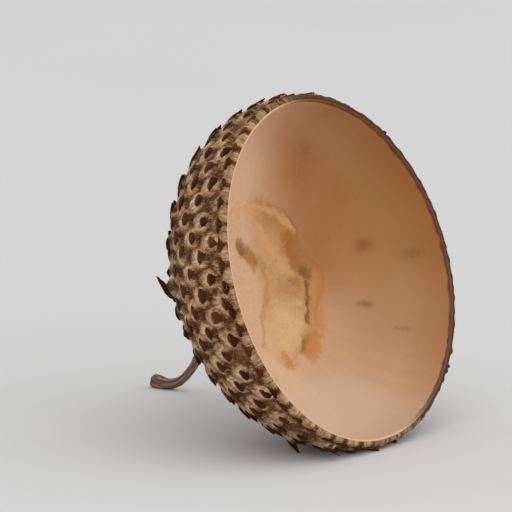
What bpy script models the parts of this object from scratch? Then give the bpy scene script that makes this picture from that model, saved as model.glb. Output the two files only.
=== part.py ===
"""An acorn cap on its stalk, lying on its side on a few worn scale tips and the end of the stalk.

The row frame is in metres with +Z up and the floor at Z = 0. The mouth looks along +X and a little up,
the stalk runs back along -X, and the origin is the middle of the box that the cap stands in.
The cup is built in a frame of its own: the middle of its mouth is the origin, +Z leaves the mouth,
and +X is the side that ends up lowest.
"""

import math

import bmesh
import bpy
import numpy as np
from mathutils import Matrix, Vector
from mathutils.geometry import delaunay_2d_cdt

# How the cap lies.
MOUTH_TILT = math.radians(19.8)  # how far the mouth looks above the horizontal
MOUTH_CENTRE = (0.00590, -0.00006, 0.00860)

# The cup's wall. The skin is the outside under the scales, and the bowl is the inside.
SKIN_RADIUS = 0.00878
SKIN_DEPTH = 0.00735
SKIN_FULLNESS = 0.95  # 1 is an ellipse, and less is squarer at the shoulder
BOWL_RADIUS = 0.00846
BOWL_DEPTH = 0.00505
BOWL_FULLNESS = 0.82
LEAN = 0.10  # sideways shift of the base, per unit of depth
OVAL = ((2, 0.009, 0.6), (3, 0.006, 2.1))  # waves round the rim, as (waves, share of the radius, phase)
LIP_RISE = 0.00010
PROFILE_SAMPLES = 2000  # steps that lengths along the skin and the bowl are summed over

# The boss that the stalk leaves the base from, and the rings of points on it as (length out, points).
BOSS_HEIGHT = 0.00055
BOSS_RADIUS = 0.00195
BOSS_RINGS = ((0.00045, 8), (0.00095, 14), (0.00140, 18))

# The scales, from the boss to the rim.
GOLDEN_TURN = math.pi * (3 - math.sqrt(5))
SCALE_SIZE_AT_BASE = 0.00158
SCALE_SIZE_AT_RIM = 0.00116
FIRST_SCALE_TAU = math.radians(13)
LAST_SCALE_TAU = math.radians(86)
SCALE_STRAY = 0.02  # how far a scale may sit from its place, in its own sizes
SCALE_SEED = 5
SCALE_HEIGHT_SHARE = 0.29  # of a scale's size
SCALE_ROOT = -0.62  # ends of a scale along the skin, in its own sizes
SCALE_TIP = 0.52
SCALE_HALF_WIDTH = 0.52
SCALE_ROOT_HEIGHT = 0.18  # where a scale's ridge starts, as a share of its height at the tip
SCALE_ROOT_WIDTH_TURN = 0.12  # a scale's width follows a half sine from this share of it to its end
SCALE_CROWN = 0.7  # 1 is a parabola across the scale, and less is flatter on top
# Scales that stand out from the rest, as (tau, phi, times their height). The first helps carry the cup.
LIFTED_SCALES = ((math.radians(65), math.radians(-21), 2.2), (math.radians(42), math.radians(-96), 1.8))

# The round scar that the nut left at the bottom of the bowl.
SCAR_RADIUS = 0.00410
SCAR_RISE = 0.00016
SCAR_GROOVE = 0.00022
SCAR_GROOVE_WIDTH = 0.00028
SCAR_SLOPE = 0.0006  # half the width of the ramp up to the scar
SCAR_RAGGED = ((5, 0.05, 1.0), (8, 0.04, 2.5))  # waves round its edge, as (waves, share of the radius, phase)

# Points round the rim, and the rings of the bowl from the rim inwards as (share of the radius, points).
RIM_POINTS = 108
BOWL_RINGS = ((0.985, 72), (0.93, 60), (0.85, 54), (0.75, 48), (0.65, 42), (0.55, 48), (0.50, 48),
              (0.465, 48), (0.43, 40), (0.34, 30), (0.24, 22), (0.13, 12))

# The stalk's route in the row frame, from the bottom of its socket to its end, measured from MOUTH_CENTRE.
STALK_ROUTE = (
    (-0.00634, 0.00000, -0.00144),
    (-0.00770, 0.00000, -0.00193),
    (-0.00892, 0.00035, -0.00248),
    (-0.01015, 0.00175, -0.00375),
    (-0.01090, 0.00310, -0.00522),
    (-0.01175, 0.00370, -0.00675),
    (-0.01285, 0.00392, -0.00798),
    (-0.01383, 0.00386, -0.00837),
    (-0.01474, 0.00383, -0.00828),
)
# Radius along the stalk, as (share of its length, radius): foot, taper, knot, thin end and flared tip.
STALK_FOOT_RADIUS = 0.00095
STALK_GIRTH = ((0.00, STALK_FOOT_RADIUS), (0.13, STALK_FOOT_RADIUS), (0.22, 0.00068), (0.32, 0.00048),
               (0.42, 0.00038), (0.48, 0.00048), (0.54, 0.00033), (0.66, 0.00023), (0.84, 0.00022),
               (0.91, 0.00028), (0.975, 0.00038), (1.00, 0.00034))
STALK_STEPS = 44
ROUTE_SAMPLES = 24  # curve points between two points of the route
SOCKET_GAP = 0.00022
SOCKET_SIDES = 20
SOCKET_CUTTER_LENGTH = 0.004
FLOOR_BLOCK_SIZE = 0.08

CAP_MATERIALS = {
    "scaly_husk": ((0.36, 0.27, 0.19), 0.85),
    "woody_stalk": ((0.24, 0.11, 0.05), 0.55),
}


def clear_scene():
    for thing in list(bpy.data.objects):
        bpy.data.objects.remove(thing, do_unlink=True)


def material(name):
    colour, roughness = CAP_MATERIALS[name]
    made = bpy.data.materials.new(name)
    made.use_nodes = True
    shader = made.node_tree.nodes["Principled BSDF"]
    shader.inputs["Base Color"].default_value = (*colour, 1.0)
    shader.inputs["Roughness"].default_value = roughness
    shader.inputs["Metallic"].default_value = 0.0
    return made


def collection(name):
    made = bpy.data.collections.new(name)
    bpy.context.scene.collection.children.link(made)
    return made


def smooth_step(low, high, value):
    share = np.clip((value - low) / (high - low), 0.0, 1.0)
    return share * share * (3 - 2 * share)


def oval(phi):
    """How far the rim is from round, as a factor of its radius."""
    return 1 + sum(share * np.cos(waves * phi + phase) for waves, share, phase in OVAL)


def ragged(phi):
    """How far the scar's edge is from round, as a factor of its radius."""
    return 1 + sum(share * np.sin(waves * phi + phase) for waves, share, phase in SCAR_RAGGED)


def skin_profile(tau):
    """(radius, height) of the skin: tau is 0 at the base and a quarter turn at the rim."""
    radius = SKIN_RADIUS * np.sin(tau) ** SKIN_FULLNESS
    height = -SKIN_DEPTH * np.cos(tau) ** SKIN_FULLNESS
    return radius, height - BOSS_HEIGHT * np.exp(-((radius / BOSS_RADIUS) ** 4))


def skin_point(tau, phi, raised=0.0):
    """Points on the skin, raised off it along its normal."""
    step = 1e-4
    tau = np.clip(tau, 1e-3, math.pi / 2 - 1e-3)

    def place(a, b):
        radius, height = skin_profile(a)
        radius = radius * oval(b)
        return np.stack([radius * np.cos(b) + LEAN * height, radius * np.sin(b), height], axis=-1)

    across = place(tau, phi + step) - place(tau, phi - step)
    along = place(tau + step, phi) - place(tau - step, phi)
    normal = np.cross(along, across)
    normal /= np.linalg.norm(normal, axis=-1, keepdims=True)
    return place(tau, phi) - np.asarray(raised)[..., None] * normal


class Meridian:
    """Lengths along the skin from the base, and the radius of a flat map of it that keeps its angles."""

    def __init__(self):
        self.tau = np.linspace(1e-3, math.pi / 2, PROFILE_SAMPLES)
        radius, height = skin_profile(self.tau)
        step = np.hypot(np.diff(radius), np.diff(height))
        middle = (radius[1:] + radius[:-1]) / 2
        self.radius = radius
        self.length = np.concatenate([[0.0], np.cumsum(step)])
        self.map_radius = np.exp(np.concatenate([[0.0], np.cumsum(step / middle)]))
        self.map_radius /= self.map_radius[-1]
        self.area = np.concatenate([[0.0], np.cumsum(2 * math.pi * middle * step)])

    def at(self, tau, what):
        return np.interp(tau, self.tau, what)

    def tau_at(self, length):
        return np.interp(length, self.length, self.tau)

    def radius_at(self, length):
        return np.interp(length, self.length, self.radius)


def turned(phi, start):
    """The angle from start to phi, the short way round."""
    return (phi - start + math.pi) % (2 * math.pi) - math.pi


def scale_places(meridian):
    """(length from the base, phi, size) of every scale, each a golden turn on from the last."""
    tau = np.linspace(FIRST_SCALE_TAU, LAST_SCALE_TAU, PROFILE_SAMPLES // 2)
    length = meridian.at(tau, meridian.length)
    area = meridian.at(tau, meridian.area)
    share = (length - length[0]) / (length[-1] - length[0])
    size = SCALE_SIZE_AT_BASE + (SCALE_SIZE_AT_RIM - SCALE_SIZE_AT_BASE) * share
    count = np.concatenate([[0.0], np.cumsum(np.diff(area) / (size[1:] * size[:-1]))])
    number = np.arange(int(count[-1])) + 0.5
    place = np.interp(number, count, length)
    size = np.interp(place, length, size)
    stray = np.random.default_rng(SCALE_SEED).uniform(-SCALE_STRAY, SCALE_STRAY, (2, len(number)))
    turn = number * GOLDEN_TURN + stray[1] * size / meridian.radius_at(place)
    return place + stray[0] * size, turn, size


def scale_lifts(meridian, scales):
    """How many times its usual height each scale stands."""
    place, turn, size = scales
    lift = np.ones(len(place))
    for tau, phi, times in LIFTED_SCALES:
        across = turned(turn, phi) * meridian.radius_at(place)
        nearest = np.argmin(np.hypot(place - meridian.at(tau, meridian.length), across))
        lift[nearest] = times
    return lift


def scale_height(along, across):
    """Height of a scale as a share of its greatest: it climbs from its root and ends in a blunt point."""
    share = (along - SCALE_ROOT) / (SCALE_TIP - SCALE_ROOT)
    inside = (share > 0) & (share < 1)
    share = np.clip(share, 0.0, 1.0)
    part_turn = SCALE_ROOT_WIDTH_TURN + (1 - SCALE_ROOT_WIDTH_TURN) * share
    half = SCALE_HALF_WIDTH * np.sqrt(np.maximum(np.sin(math.pi * part_turn), 1e-6))
    crown = np.maximum(1 - (across / half) ** 2, 0.0) ** SCALE_CROWN
    ridge = SCALE_ROOT_HEIGHT + (1 - SCALE_ROOT_HEIGHT) * share
    return np.where(inside, ridge * crown, 0.0)


def relief(meridian, scales, length, phi):
    """Height of the scales over the skin at each point: that of whichever scale stands highest there."""
    place, turn, size = scales
    along = (length[:, None] - place) / size
    across = turned(phi[:, None], turn) * meridian.radius_at(length)[:, None] / size
    height = SCALE_HEIGHT_SHARE * size * scale_lifts(meridian, scales)
    return (height * scale_height(along, across)).max(axis=1)


# Where the surface is sampled on each scale, in its own sizes: tip, foot of the tip, crown, shoulders,
# the dips beside the tip, the sides, and the root. Earlier ones win where two fall together.
SCALE_SAMPLES = ((0.48, 0.0), (0.60, 0.0), (0.02, 0.0), (0.26, 0.24), (0.26, -0.24),
                 (0.40, 0.44), (0.40, -0.44), (-0.06, 0.52), (-0.06, -0.52), (-0.36, 0.0))
NEAREST_SAMPLES = 0.00022


def spaced(points, apart):
    """Indices of the points that keep their distance from every earlier one kept."""
    kept = []
    for index, point in enumerate(points):
        if not kept or np.min(np.linalg.norm(points[kept] - point, axis=1)) > apart:
            kept.append(index)
    return np.array(kept)


def full_turn(points):
    """Angles evenly round a circle."""
    return np.arange(points) * 2 * math.pi / points


def on_disc(radius, phi):
    return np.stack([radius * np.cos(phi), radius * np.sin(phi)], axis=1)


def triangles(flat):
    """The Delaunay triangles of points on a flat map, as indices that run anticlockwise."""
    made = delaunay_2d_cdt([Vector(point) for point in flat], [], [], 0, 1e-9)
    points, faces, sources = made[0], made[2], made[3]
    if len(points) != len(flat):
        raise ValueError("two sampled points fell together")
    return [[sources[corner][0] for corner in face] for face in faces]


def skin_surface():
    """(points, triangles) of the scaly outside. The last RIM_POINTS of its points are the rim's edge."""
    meridian = Meridian()
    scales = scale_places(meridian)
    place, turn, size = scales
    end = meridian.length[-1]
    length, phi = [], []
    for along, across in SCALE_SAMPLES:
        there = place + along * size
        length.append(there)
        phi.append(turn + across * size / meridian.radius_at(there))
    for out, points in BOSS_RINGS:
        length.append(np.full(points, out))
        phi.append(full_turn(points))
    length, phi = np.concatenate(length), np.concatenate(phi)
    keep = length < end - NEAREST_SAMPLES
    length, phi = length[keep], phi[keep]
    kept = spaced(skin_point(meridian.tau_at(length), phi), NEAREST_SAMPLES)
    length = np.append(length[kept], np.full(RIM_POINTS, end))
    phi = np.append(phi[kept], full_turn(RIM_POINTS))
    raised = relief(meridian, scales, length, phi)
    raised[-RIM_POINTS:] = 0.0
    tau = meridian.tau_at(length)
    return skin_point(tau, phi, raised), triangles(on_disc(meridian.at(tau, meridian.map_radius), phi))


def bowl_height(share, phi):
    """Height of the smooth inside at a share of its radius, with the scar and the groove round it."""
    height = -BOWL_DEPTH * np.maximum(1 - share ** (2 / BOWL_FULLNESS), 0.0) ** (BOWL_FULLNESS / 2)
    out = share * BOWL_RADIUS - SCAR_RADIUS * ragged(phi)
    groove = SCAR_GROOVE * np.exp(-((out / SCAR_GROOVE_WIDTH) ** 2))
    return height + SCAR_RISE * smooth_step(SCAR_SLOPE, -SCAR_SLOPE, out) - groove


def bowl_surface():
    """(points, triangles) of the smooth inside. The last RIM_POINTS of its points are its edge."""
    share, phi = [np.zeros(1)], [np.zeros(1)]
    for number, (ring, points) in enumerate(BOWL_RINGS):
        share.append(np.full(points, ring))
        phi.append(full_turn(points) + (number % 2) * math.pi / points)
    share, phi = np.concatenate(share), np.concatenate(phi)
    share, phi = np.append(share, np.ones(RIM_POINTS)), np.append(phi, full_turn(RIM_POINTS))
    height = bowl_height(share, phi)
    flat = on_disc(BOWL_RADIUS * share * oval(phi), phi)
    points = np.column_stack([flat[:, 0] + LEAN * height, flat[:, 1], height])
    fine = np.linspace(0, 1, PROFILE_SAMPLES)
    slope = np.hypot(np.diff(fine) * BOWL_RADIUS, np.diff(bowl_height(fine, 0.0)))
    length = np.concatenate([[0.0], np.cumsum(slope)])
    return points, triangles(on_disc(np.interp(share, fine, length), phi))


def lip_ring():
    """The crest of the lip, halfway between the skin's edge and the bowl's."""
    phi = full_turn(RIM_POINTS)
    radius = (SKIN_RADIUS + BOWL_RADIUS) / 2 * oval(phi)
    return np.column_stack([on_disc(radius, phi), np.full(RIM_POINTS, LIP_RISE)])


def cup_mesh():
    """The wall as one closed surface: skin, lip and bowl, each joined to the next at the rim."""
    skin, skin_faces = skin_surface()
    bowl, bowl_faces = bowl_surface()
    points = np.concatenate([skin, lip_ring(), bowl])
    lip_start = len(skin)
    bowl_start = lip_start + RIM_POINTS
    faces = [face[::-1] for face in skin_faces]
    faces += [[corner + bowl_start for corner in face] for face in bowl_faces]
    edges = (lip_start - RIM_POINTS, lip_start, len(points) - RIM_POINTS)
    for below, above in zip(edges, edges[1:]):
        for here in range(RIM_POINTS):
            there = (here + 1) % RIM_POINTS
            faces.append([below + here, below + there, above + there, above + here])
    mesh = bpy.data.meshes.new("cup")
    mesh.from_pydata(points.tolist(), [], faces)
    work = bmesh.new()
    work.from_mesh(mesh)
    bmesh.ops.recalc_face_normals(work, faces=work.faces)
    work.to_mesh(mesh)
    work.free()
    return mesh


def smooth_route(points, steps):
    """A Catmull-Rom curve through the points, at equal steps of its length."""
    points = [Vector(point) for point in points]
    ends = [points[0] * 2 - points[1], *points, points[-1] * 2 - points[-2]]
    fine = []
    for before, start, end, after in zip(ends, ends[1:], ends[2:], ends[3:]):
        for share in np.linspace(0, 1, ROUTE_SAMPLES, endpoint=False):
            square, cube = share * share, share**3
            fine.append(0.5 * (2 * start + (end - before) * share
                               + (2 * before - 5 * start + 4 * end - after) * square
                               + (3 * start - before - 3 * end + after) * cube))
    fine = np.array([*fine, points[-1]])
    length = np.concatenate([[0.0], np.cumsum(np.linalg.norm(np.diff(fine, axis=0), axis=1))])
    wanted = np.linspace(0, length[-1], steps)
    return np.column_stack([np.interp(wanted, length, fine[:, axis]) for axis in range(3)])


def stalk_curve(centre):
    """The stalk as a bevelled curve, thicker at the cup, at its one knot and at its end."""
    route = smooth_route(np.array(STALK_ROUTE) + np.array(centre), STALK_STEPS)
    share, girth = np.array(STALK_GIRTH).T
    radius = np.interp(np.linspace(0, 1, STALK_STEPS), share, girth)
    curve = bpy.data.curves.new("stalk_route", "CURVE")
    curve.dimensions = "3D"
    curve.bevel_depth = STALK_FOOT_RADIUS
    curve.bevel_resolution = 4
    curve.use_fill_caps = True
    spline = curve.splines.new("POLY")
    spline.points.add(STALK_STEPS - 1)
    for point, place, width in zip(spline.points, route, radius):
        point.co = (*place, 1.0)
        point.radius = width / STALK_FOOT_RADIUS
    return bpy.data.objects.new("stalk_route", curve)


def stalk_object(parts):
    """The stalk's curve made a mesh with its caps welded on, so that the floor can flatten its end."""
    route = stalk_curve(MOUTH_CENTRE)
    parts.objects.link(route)
    bpy.context.view_layer.update()
    graph = bpy.context.evaluated_depsgraph_get()
    mesh = bpy.data.meshes.new_from_object(route.evaluated_get(graph))
    mesh.name = "stalk"
    work = bmesh.new()
    work.from_mesh(mesh)
    bmesh.ops.remove_doubles(work, verts=work.verts, dist=1e-6)
    bmesh.ops.recalc_face_normals(work, faces=work.faces)
    work.to_mesh(mesh)
    work.free()
    stalk = bpy.data.objects.new("stalk", mesh)
    stalk.matrix_world = route.matrix_world.copy()
    bpy.data.objects.remove(route, do_unlink=True)
    parts.objects.link(stalk)
    return stalk


def hide(cutter):
    cutter.hide_render = True
    cutter.display_type = "WIRE"
    return cutter


def floor_block(cutters):
    """A block whose top is the floor, to wear flat what would reach below it."""
    work = bmesh.new()
    bmesh.ops.create_cube(work, size=FLOOR_BLOCK_SIZE)
    mesh = bpy.data.meshes.new("floor_block")
    work.to_mesh(mesh)
    work.free()
    block = bpy.data.objects.new("floor_block", mesh)
    block.location = (0.0, 0.0, -FLOOR_BLOCK_SIZE / 2)
    cutters.objects.link(block)
    return hide(block)


def socket_cutter(cutters):
    """A round cutter for the socket in the boss, a gap wider and deeper than the end of the stalk in it."""
    start, along = (Vector(STALK_ROUTE[index]) for index in (0, 1))
    out = (along - start).normalized()
    radius = STALK_FOOT_RADIUS + SOCKET_GAP
    work = bmesh.new()
    bmesh.ops.create_cone(work, cap_ends=True, segments=SOCKET_SIDES, radius1=radius, radius2=radius,
                          depth=SOCKET_CUTTER_LENGTH)
    mesh = bpy.data.meshes.new("socket_cutter")
    work.to_mesh(mesh)
    work.free()
    cutter = bpy.data.objects.new("socket_cutter", mesh)
    middle = Vector(MOUTH_CENTRE) + start + out * (SOCKET_CUTTER_LENGTH / 2 - SOCKET_GAP)
    cutter.matrix_world = Matrix.Translation(middle) @ out.to_track_quat("Z", "Y").to_matrix().to_4x4()
    cutters.objects.link(cutter)
    return hide(cutter)


def cut(thing, cutter):
    modifier = thing.modifiers.new(f"cut_{cutter.name}", "BOOLEAN")
    modifier.operation = "DIFFERENCE"
    modifier.object = cutter


def main():
    clear_scene()
    parts = collection("acorn_cap")
    cutters = collection("cutters")
    cup = bpy.data.objects.new("cup", cup_mesh())
    cup.location = MOUTH_CENTRE
    cup.rotation_euler = (0.0, math.pi / 2 - MOUTH_TILT, 0.0)
    parts.objects.link(cup)
    stalk = stalk_object(parts)
    cup.data.materials.append(material("scaly_husk"))
    stalk.data.materials.append(material("woody_stalk"))
    floor = floor_block(cutters)
    cut(cup, socket_cutter(cutters))
    cut(cup, floor)
    cut(stalk, floor)
    stalk.data.shade_smooth()


main()
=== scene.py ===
"""An acorn cap on its stalk: woolly scales with dark tips, a satin bowl with the nut's scar, a barky stalk.

The row frame is in metres, +Z up, floor at Z = 0. The cup's own frame has its origin at the middle of the
mouth, +Z out of the mouth and +X towards the side that lies lowest. Every surface is worked out with numpy.
"""

import math

import bpy
import numpy as np
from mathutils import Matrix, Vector


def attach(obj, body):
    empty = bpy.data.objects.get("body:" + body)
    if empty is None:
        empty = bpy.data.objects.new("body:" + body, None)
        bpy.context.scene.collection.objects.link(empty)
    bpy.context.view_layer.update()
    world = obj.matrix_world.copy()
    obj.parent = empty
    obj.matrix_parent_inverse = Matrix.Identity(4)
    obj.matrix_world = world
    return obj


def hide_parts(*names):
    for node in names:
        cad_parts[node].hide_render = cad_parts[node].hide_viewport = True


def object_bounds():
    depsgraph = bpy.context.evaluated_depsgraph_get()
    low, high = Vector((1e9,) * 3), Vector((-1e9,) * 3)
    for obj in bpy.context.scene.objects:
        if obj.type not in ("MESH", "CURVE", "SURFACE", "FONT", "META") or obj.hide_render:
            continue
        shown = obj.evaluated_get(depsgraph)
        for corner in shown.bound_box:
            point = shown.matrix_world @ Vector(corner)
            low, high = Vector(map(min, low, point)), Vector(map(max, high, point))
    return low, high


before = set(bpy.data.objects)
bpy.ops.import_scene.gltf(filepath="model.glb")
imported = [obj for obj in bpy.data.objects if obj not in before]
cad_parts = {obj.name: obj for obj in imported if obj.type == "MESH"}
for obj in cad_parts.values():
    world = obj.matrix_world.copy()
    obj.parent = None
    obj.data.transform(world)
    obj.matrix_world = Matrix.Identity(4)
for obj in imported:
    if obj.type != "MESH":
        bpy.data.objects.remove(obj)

CAD_BOX = [list(corner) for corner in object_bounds()]
MM = 0.001

# The cup's walls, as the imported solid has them.
MOUTH_TILT = math.radians(19.8)
MOUTH_CENTRE = np.array([5.90, -0.06, 8.60]) * MM
SKIN_RADIUS = 8.78 * MM
SKIN_DEPTH = 7.35 * MM
SKIN_FULLNESS = 0.95
BOWL_RADIUS = 8.46 * MM
BOWL_DEPTH = 5.05 * MM
BOWL_FULLNESS = 0.82
LEAN = 0.10  # sideways shift of the base, per unit of depth
OVAL = ((2, 0.009, 0.6), (3, 0.006, 2.1))  # waves round the rim, as (waves, share of the radius, phase)
BOSS_HEIGHT = 0.55 * MM
BOSS_RADIUS = 1.95 * MM

# The scales stand a golden turn apart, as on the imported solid.
GOLDEN_TURN = math.pi * (3 - math.sqrt(5))
SCALE_SIZE_AT_BASE = 1.58 * MM
SCALE_SIZE_AT_RIM = 1.16 * MM
FIRST_SCALE_TAU = math.radians(13)
LAST_SCALE_TAU = math.radians(86)
SCALE_STRAY = 0.02
SCALE_SEED = 5
SCALE_ROOT = -0.62
SCALE_TIP = 0.52
SCALE_HALF_WIDTH = 0.52
# Scales that stand up: (place as tau, phi, times the usual height, sideways lean of the tip in scale sizes).
LIFTED_SCALES = (
    (math.radians(65), math.radians(-21), 1.5, 0.0),
    (math.radians(82), math.radians(-22), 1.45, 0.0),
    (math.radians(42), math.radians(-96), 1.65, -0.62))
WOOL_HEIGHT_SHARE = 0.24  # of a scale's size
WOOL_ROOT_HEIGHT = 0.20  # where a scale's wool starts, as a share of its height at the tip
WOOL_WIDTH_TURN = (0.12, 0.96)  # a scale's width follows the root of a half sine between these
WOOL_END = (1.04, 0.86)  # the wool's end and where it starts to fall, as shares from root to tip
WOOL_BEND = 0.8  # how round the wool is, along a scale and across it: 1 is straight, or a parabola
WOOL_FUSING = 0.040 * MM  # how softly one scale's wool runs into the next
RIM_WORN_AND_SHADED_FROM = math.radians(10)  # the rim is painted darkest, as shade, and its tips are worn most, over the half turn from here
RIM_SCALES = 50
RIM_SCALE_SEED = 21
RIM_SCALE_STRAY = 0.02  # round the rim, in radians
RIM_SCALE_DEPTH = (0.33, 0.42)  # least and most below the rim, in mm
RIM_SCALE_SIZE = 0.84 * MM
RIM_SCALE_LIFT = 0.60
RIM_SCALE_ROOM = 0.28 * MM
RIM_BAND = 0.70 * MM

# The nut's scar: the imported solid's, with its groove a quarter as deep.
SCAR_RADIUS = 4.10 * MM
SCAR_RISE = 0.16 * MM
SCAR_GROOVE = 0.055 * MM
SCAR_GROOVE_WIDTH = 0.28 * MM

# The stalk's route and girth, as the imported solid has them.
STALK_ROUTE = np.array([
    (-6.34, 0.00, -1.44), (-7.70, 0.00, -1.93), (-8.92, 0.35, -2.48), (-10.15, 1.75, -3.75),
    (-10.90, 3.10, -5.22), (-11.75, 3.70, -6.75), (-12.85, 3.92, -7.98), (-13.83, 3.86, -8.37),
    (-14.74, 3.83, -8.28)]) * MM
# (share of the length, radius in mm).
STALK_GIRTH = np.array([
    (0.00, 0.95), (0.13, 0.95), (0.22, 0.68), (0.32, 0.48), (0.42, 0.38), (0.48, 0.48),
    (0.54, 0.33), (0.66, 0.23), (0.84, 0.22), (0.91, 0.28), (0.975, 0.38), (1.00, 0.34)])


# Numbers and surfaces

def smooth_step(low, high, value):
    share = np.clip((value - low) / (high - low), 0.0, 1.0)
    return share * share * (3 - 2 * share)


def bump_at(value, centre, width):
    """A bell: 1 at the centre, falling to nothing over about twice the width."""
    return np.exp(-(((value - centre) / width) ** 2))


def turned(phi, start):
    """The angle from start to phi, the short way round."""
    return (phi - start + math.pi) % (2 * math.pi) - math.pi


def full_turn(points):
    return np.arange(points) * 2 * math.pi / points


def unit(vectors):
    """Vectors scaled to unit length."""
    return vectors / np.linalg.norm(vectors, axis=-1, keepdims=True)


def ripple(points, wavelength, seed, waves=22):
    """Random hills of about this wavelength and unit height: a sum of plane waves that run every way, the
    longest 1 / 0.65 and the shortest 1 / 1.5 of the wavelength."""
    chance = np.random.default_rng(seed)
    heading = unit(chance.normal(size=(waves, points.shape[-1])))
    heading *= chance.uniform(0.65, 1.5, (waves, 1)) * 2 * math.pi / wavelength
    total = np.zeros(points.shape[:-1])
    for way, start in zip(heading, chance.uniform(0, 2 * math.pi, waves)):
        total += np.sin(points @ way + start)
    return total / math.sqrt(waves / 2)


def in_row_frame(points):
    """Points of the cup's frame, in the row frame."""
    x, y, z = np.moveaxis(points, -1, 0)
    sine, cosine = math.sin(MOUTH_TILT), math.cos(MOUTH_TILT)
    return np.stack([x * sine + z * cosine, y, z * sine - x * cosine], axis=-1) + MOUTH_CENTRE


def oval(phi):
    return 1 + sum(share * np.cos(waves * phi + phase) for waves, share, phase in OVAL)


def stacked(*parts):
    """Arrays made one shape and stacked as the last axis."""
    return np.stack(np.broadcast_arrays(*parts), axis=-1)


def carried_round(radius, phi, *more):
    """x and y at this radius and angle round an axis, and what is to follow them."""
    return stacked(radius * np.cos(phi), radius * np.sin(phi), *more)


def skin_profile(tau):
    """(radius, height) of the outside under the scales. Tau is 0 at the base, a quarter turn at the rim."""
    radius = SKIN_RADIUS * np.sin(tau) ** SKIN_FULLNESS
    height = -SKIN_DEPTH * np.cos(tau) ** SKIN_FULLNESS
    return radius, height - BOSS_HEIGHT * np.exp(-((radius / BOSS_RADIUS) ** 4))


# Lengths and areas along the outside, summed from the base.
TAU = np.linspace(1e-3, math.pi / 2, 2000)
SKIN_AT = dict(zip(("radius", "height"), skin_profile(TAU)))
STEP = np.hypot(np.diff(SKIN_AT["radius"]), np.diff(SKIN_AT["height"]))
MIDDLE = (SKIN_AT["radius"][1:] + SKIN_AT["radius"][:-1]) / 2
SKIN_LENGTH = np.concatenate([[0.0], np.cumsum(STEP)])
SKIN_AREA = np.concatenate([[0.0], np.cumsum(2 * math.pi * MIDDLE * STEP)])
RIM_LENGTH = SKIN_LENGTH[-1]


def skin_radius_at(length):
    return np.interp(length, SKIN_LENGTH, SKIN_AT["radius"])


def skin_point(length, phi, raised=0.0):
    """Points of the outside at a length from the base, raised along its normal. Past the rim they go straight
    on."""
    step = 1e-4
    tau = np.clip(np.interp(length, SKIN_LENGTH, TAU), 2e-3, math.pi / 2 - 1e-3)

    def place(a, b):
        radius, height = skin_profile(a)
        radius = radius * oval(b)
        return np.stack([radius * np.cos(b) + LEAN * height, radius * np.sin(b), height], axis=-1)

    across = place(tau, phi + step) - place(tau, phi - step)
    along = place(tau + step, phi) - place(tau - step, phi)
    points = place(tau, phi) + np.asarray(raised)[..., None] * unit(np.cross(across, along))
    points[..., 2] += np.maximum(length - RIM_LENGTH, 0.0)
    return points


def scale_places():
    """(length from the base, phi, size) of every scale, each a golden turn on from the last."""
    tau = np.linspace(FIRST_SCALE_TAU, LAST_SCALE_TAU, 1000)
    length = np.interp(tau, TAU, SKIN_LENGTH)
    area = np.interp(tau, TAU, SKIN_AREA)
    share = (length - length[0]) / (length[-1] - length[0])
    size = SCALE_SIZE_AT_BASE + (SCALE_SIZE_AT_RIM - SCALE_SIZE_AT_BASE) * share
    count = np.concatenate([[0.0], np.cumsum(np.diff(area) / (size[1:] * size[:-1]))])
    number = np.arange(int(count[-1])) + 0.5
    place = np.interp(number, count, length)
    size = np.interp(place, length, size)
    stray = np.random.default_rng(SCALE_SEED).uniform(-SCALE_STRAY, SCALE_STRAY, (2, len(number)))
    return place + stray[0] * size, number * GOLDEN_TURN + stray[1] * size / skin_radius_at(place), size


def with_rim_row(place, turn, size):
    """The scales and a row of small ones just under the rim, wherever the spiral leaves room for one."""
    chance = np.random.default_rng(RIM_SCALE_SEED)
    rim_turn = full_turn(RIM_SCALES) + chance.uniform(-RIM_SCALE_STRAY, RIM_SCALE_STRAY, RIM_SCALES)
    rim_place = RIM_LENGTH - chance.uniform(*RIM_SCALE_DEPTH, RIM_SCALES) * MM
    sideways = np.abs(turned(rim_turn[:, None], turn)) * SKIN_RADIUS
    taken = (sideways < RIM_SCALE_ROOM) & (RIM_LENGTH - place < RIM_BAND)
    free = ~taken.any(axis=1)
    added = np.full(free.sum(), RIM_SCALE_SIZE)
    return np.append(place, rim_place[free]), np.append(turn, rim_turn[free]), np.append(size, added)


PLACE, TURN, SIZE = with_rim_row(*scale_places())
LIFT = np.where(SIZE > RIM_SCALE_SIZE, 1.0, RIM_SCALE_LIFT)
SIDE_LEAN = np.zeros(len(PLACE))
for lifted_tau, lifted_phi, times, side_lean in LIFTED_SCALES:
    lengthways = PLACE - np.interp(lifted_tau, TAU, SKIN_LENGTH)
    nearest = np.argmin(np.hypot(lengthways, turned(TURN, lifted_phi) * skin_radius_at(PLACE)))
    LIFT[nearest] = times
    SIDE_LEAN[nearest] = side_lean


def rim_wear_and_painted_shade(phi):
    """How much the rim is darkened with painted shade and its tips worn: 0 on the side that the light
    reaches,
    1 over the half turn past it.
    """
    return smooth_step(-0.3, 0.5, np.sin(phi - RIM_WORN_AND_SHADED_FROM))


def wool_body(along, across):
    """Height of one scale's wool as a share of its greatest: it climbs from its root and ends round."""
    share = (along - SCALE_ROOT) / (SCALE_TIP - SCALE_ROOT)
    end, falls = WOOL_END
    inside = (share > 0) & (share < end)
    share = np.clip(share, 0.0, end)
    turn = WOOL_WIDTH_TURN[0] + (WOOL_WIDTH_TURN[1] - WOOL_WIDTH_TURN[0]) * share
    half = SCALE_HALF_WIDTH * np.sqrt(np.maximum(np.sin(math.pi * turn), 1e-6))
    crown = np.maximum(1 - (across / half) ** 2, 0.0) ** WOOL_BEND
    climb = WOOL_ROOT_HEIGHT + (1 - WOOL_ROOT_HEIGHT) * share**WOOL_BEND
    return np.where(inside, climb * crown * smooth_step(end, falls, share), 0.0)


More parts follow.
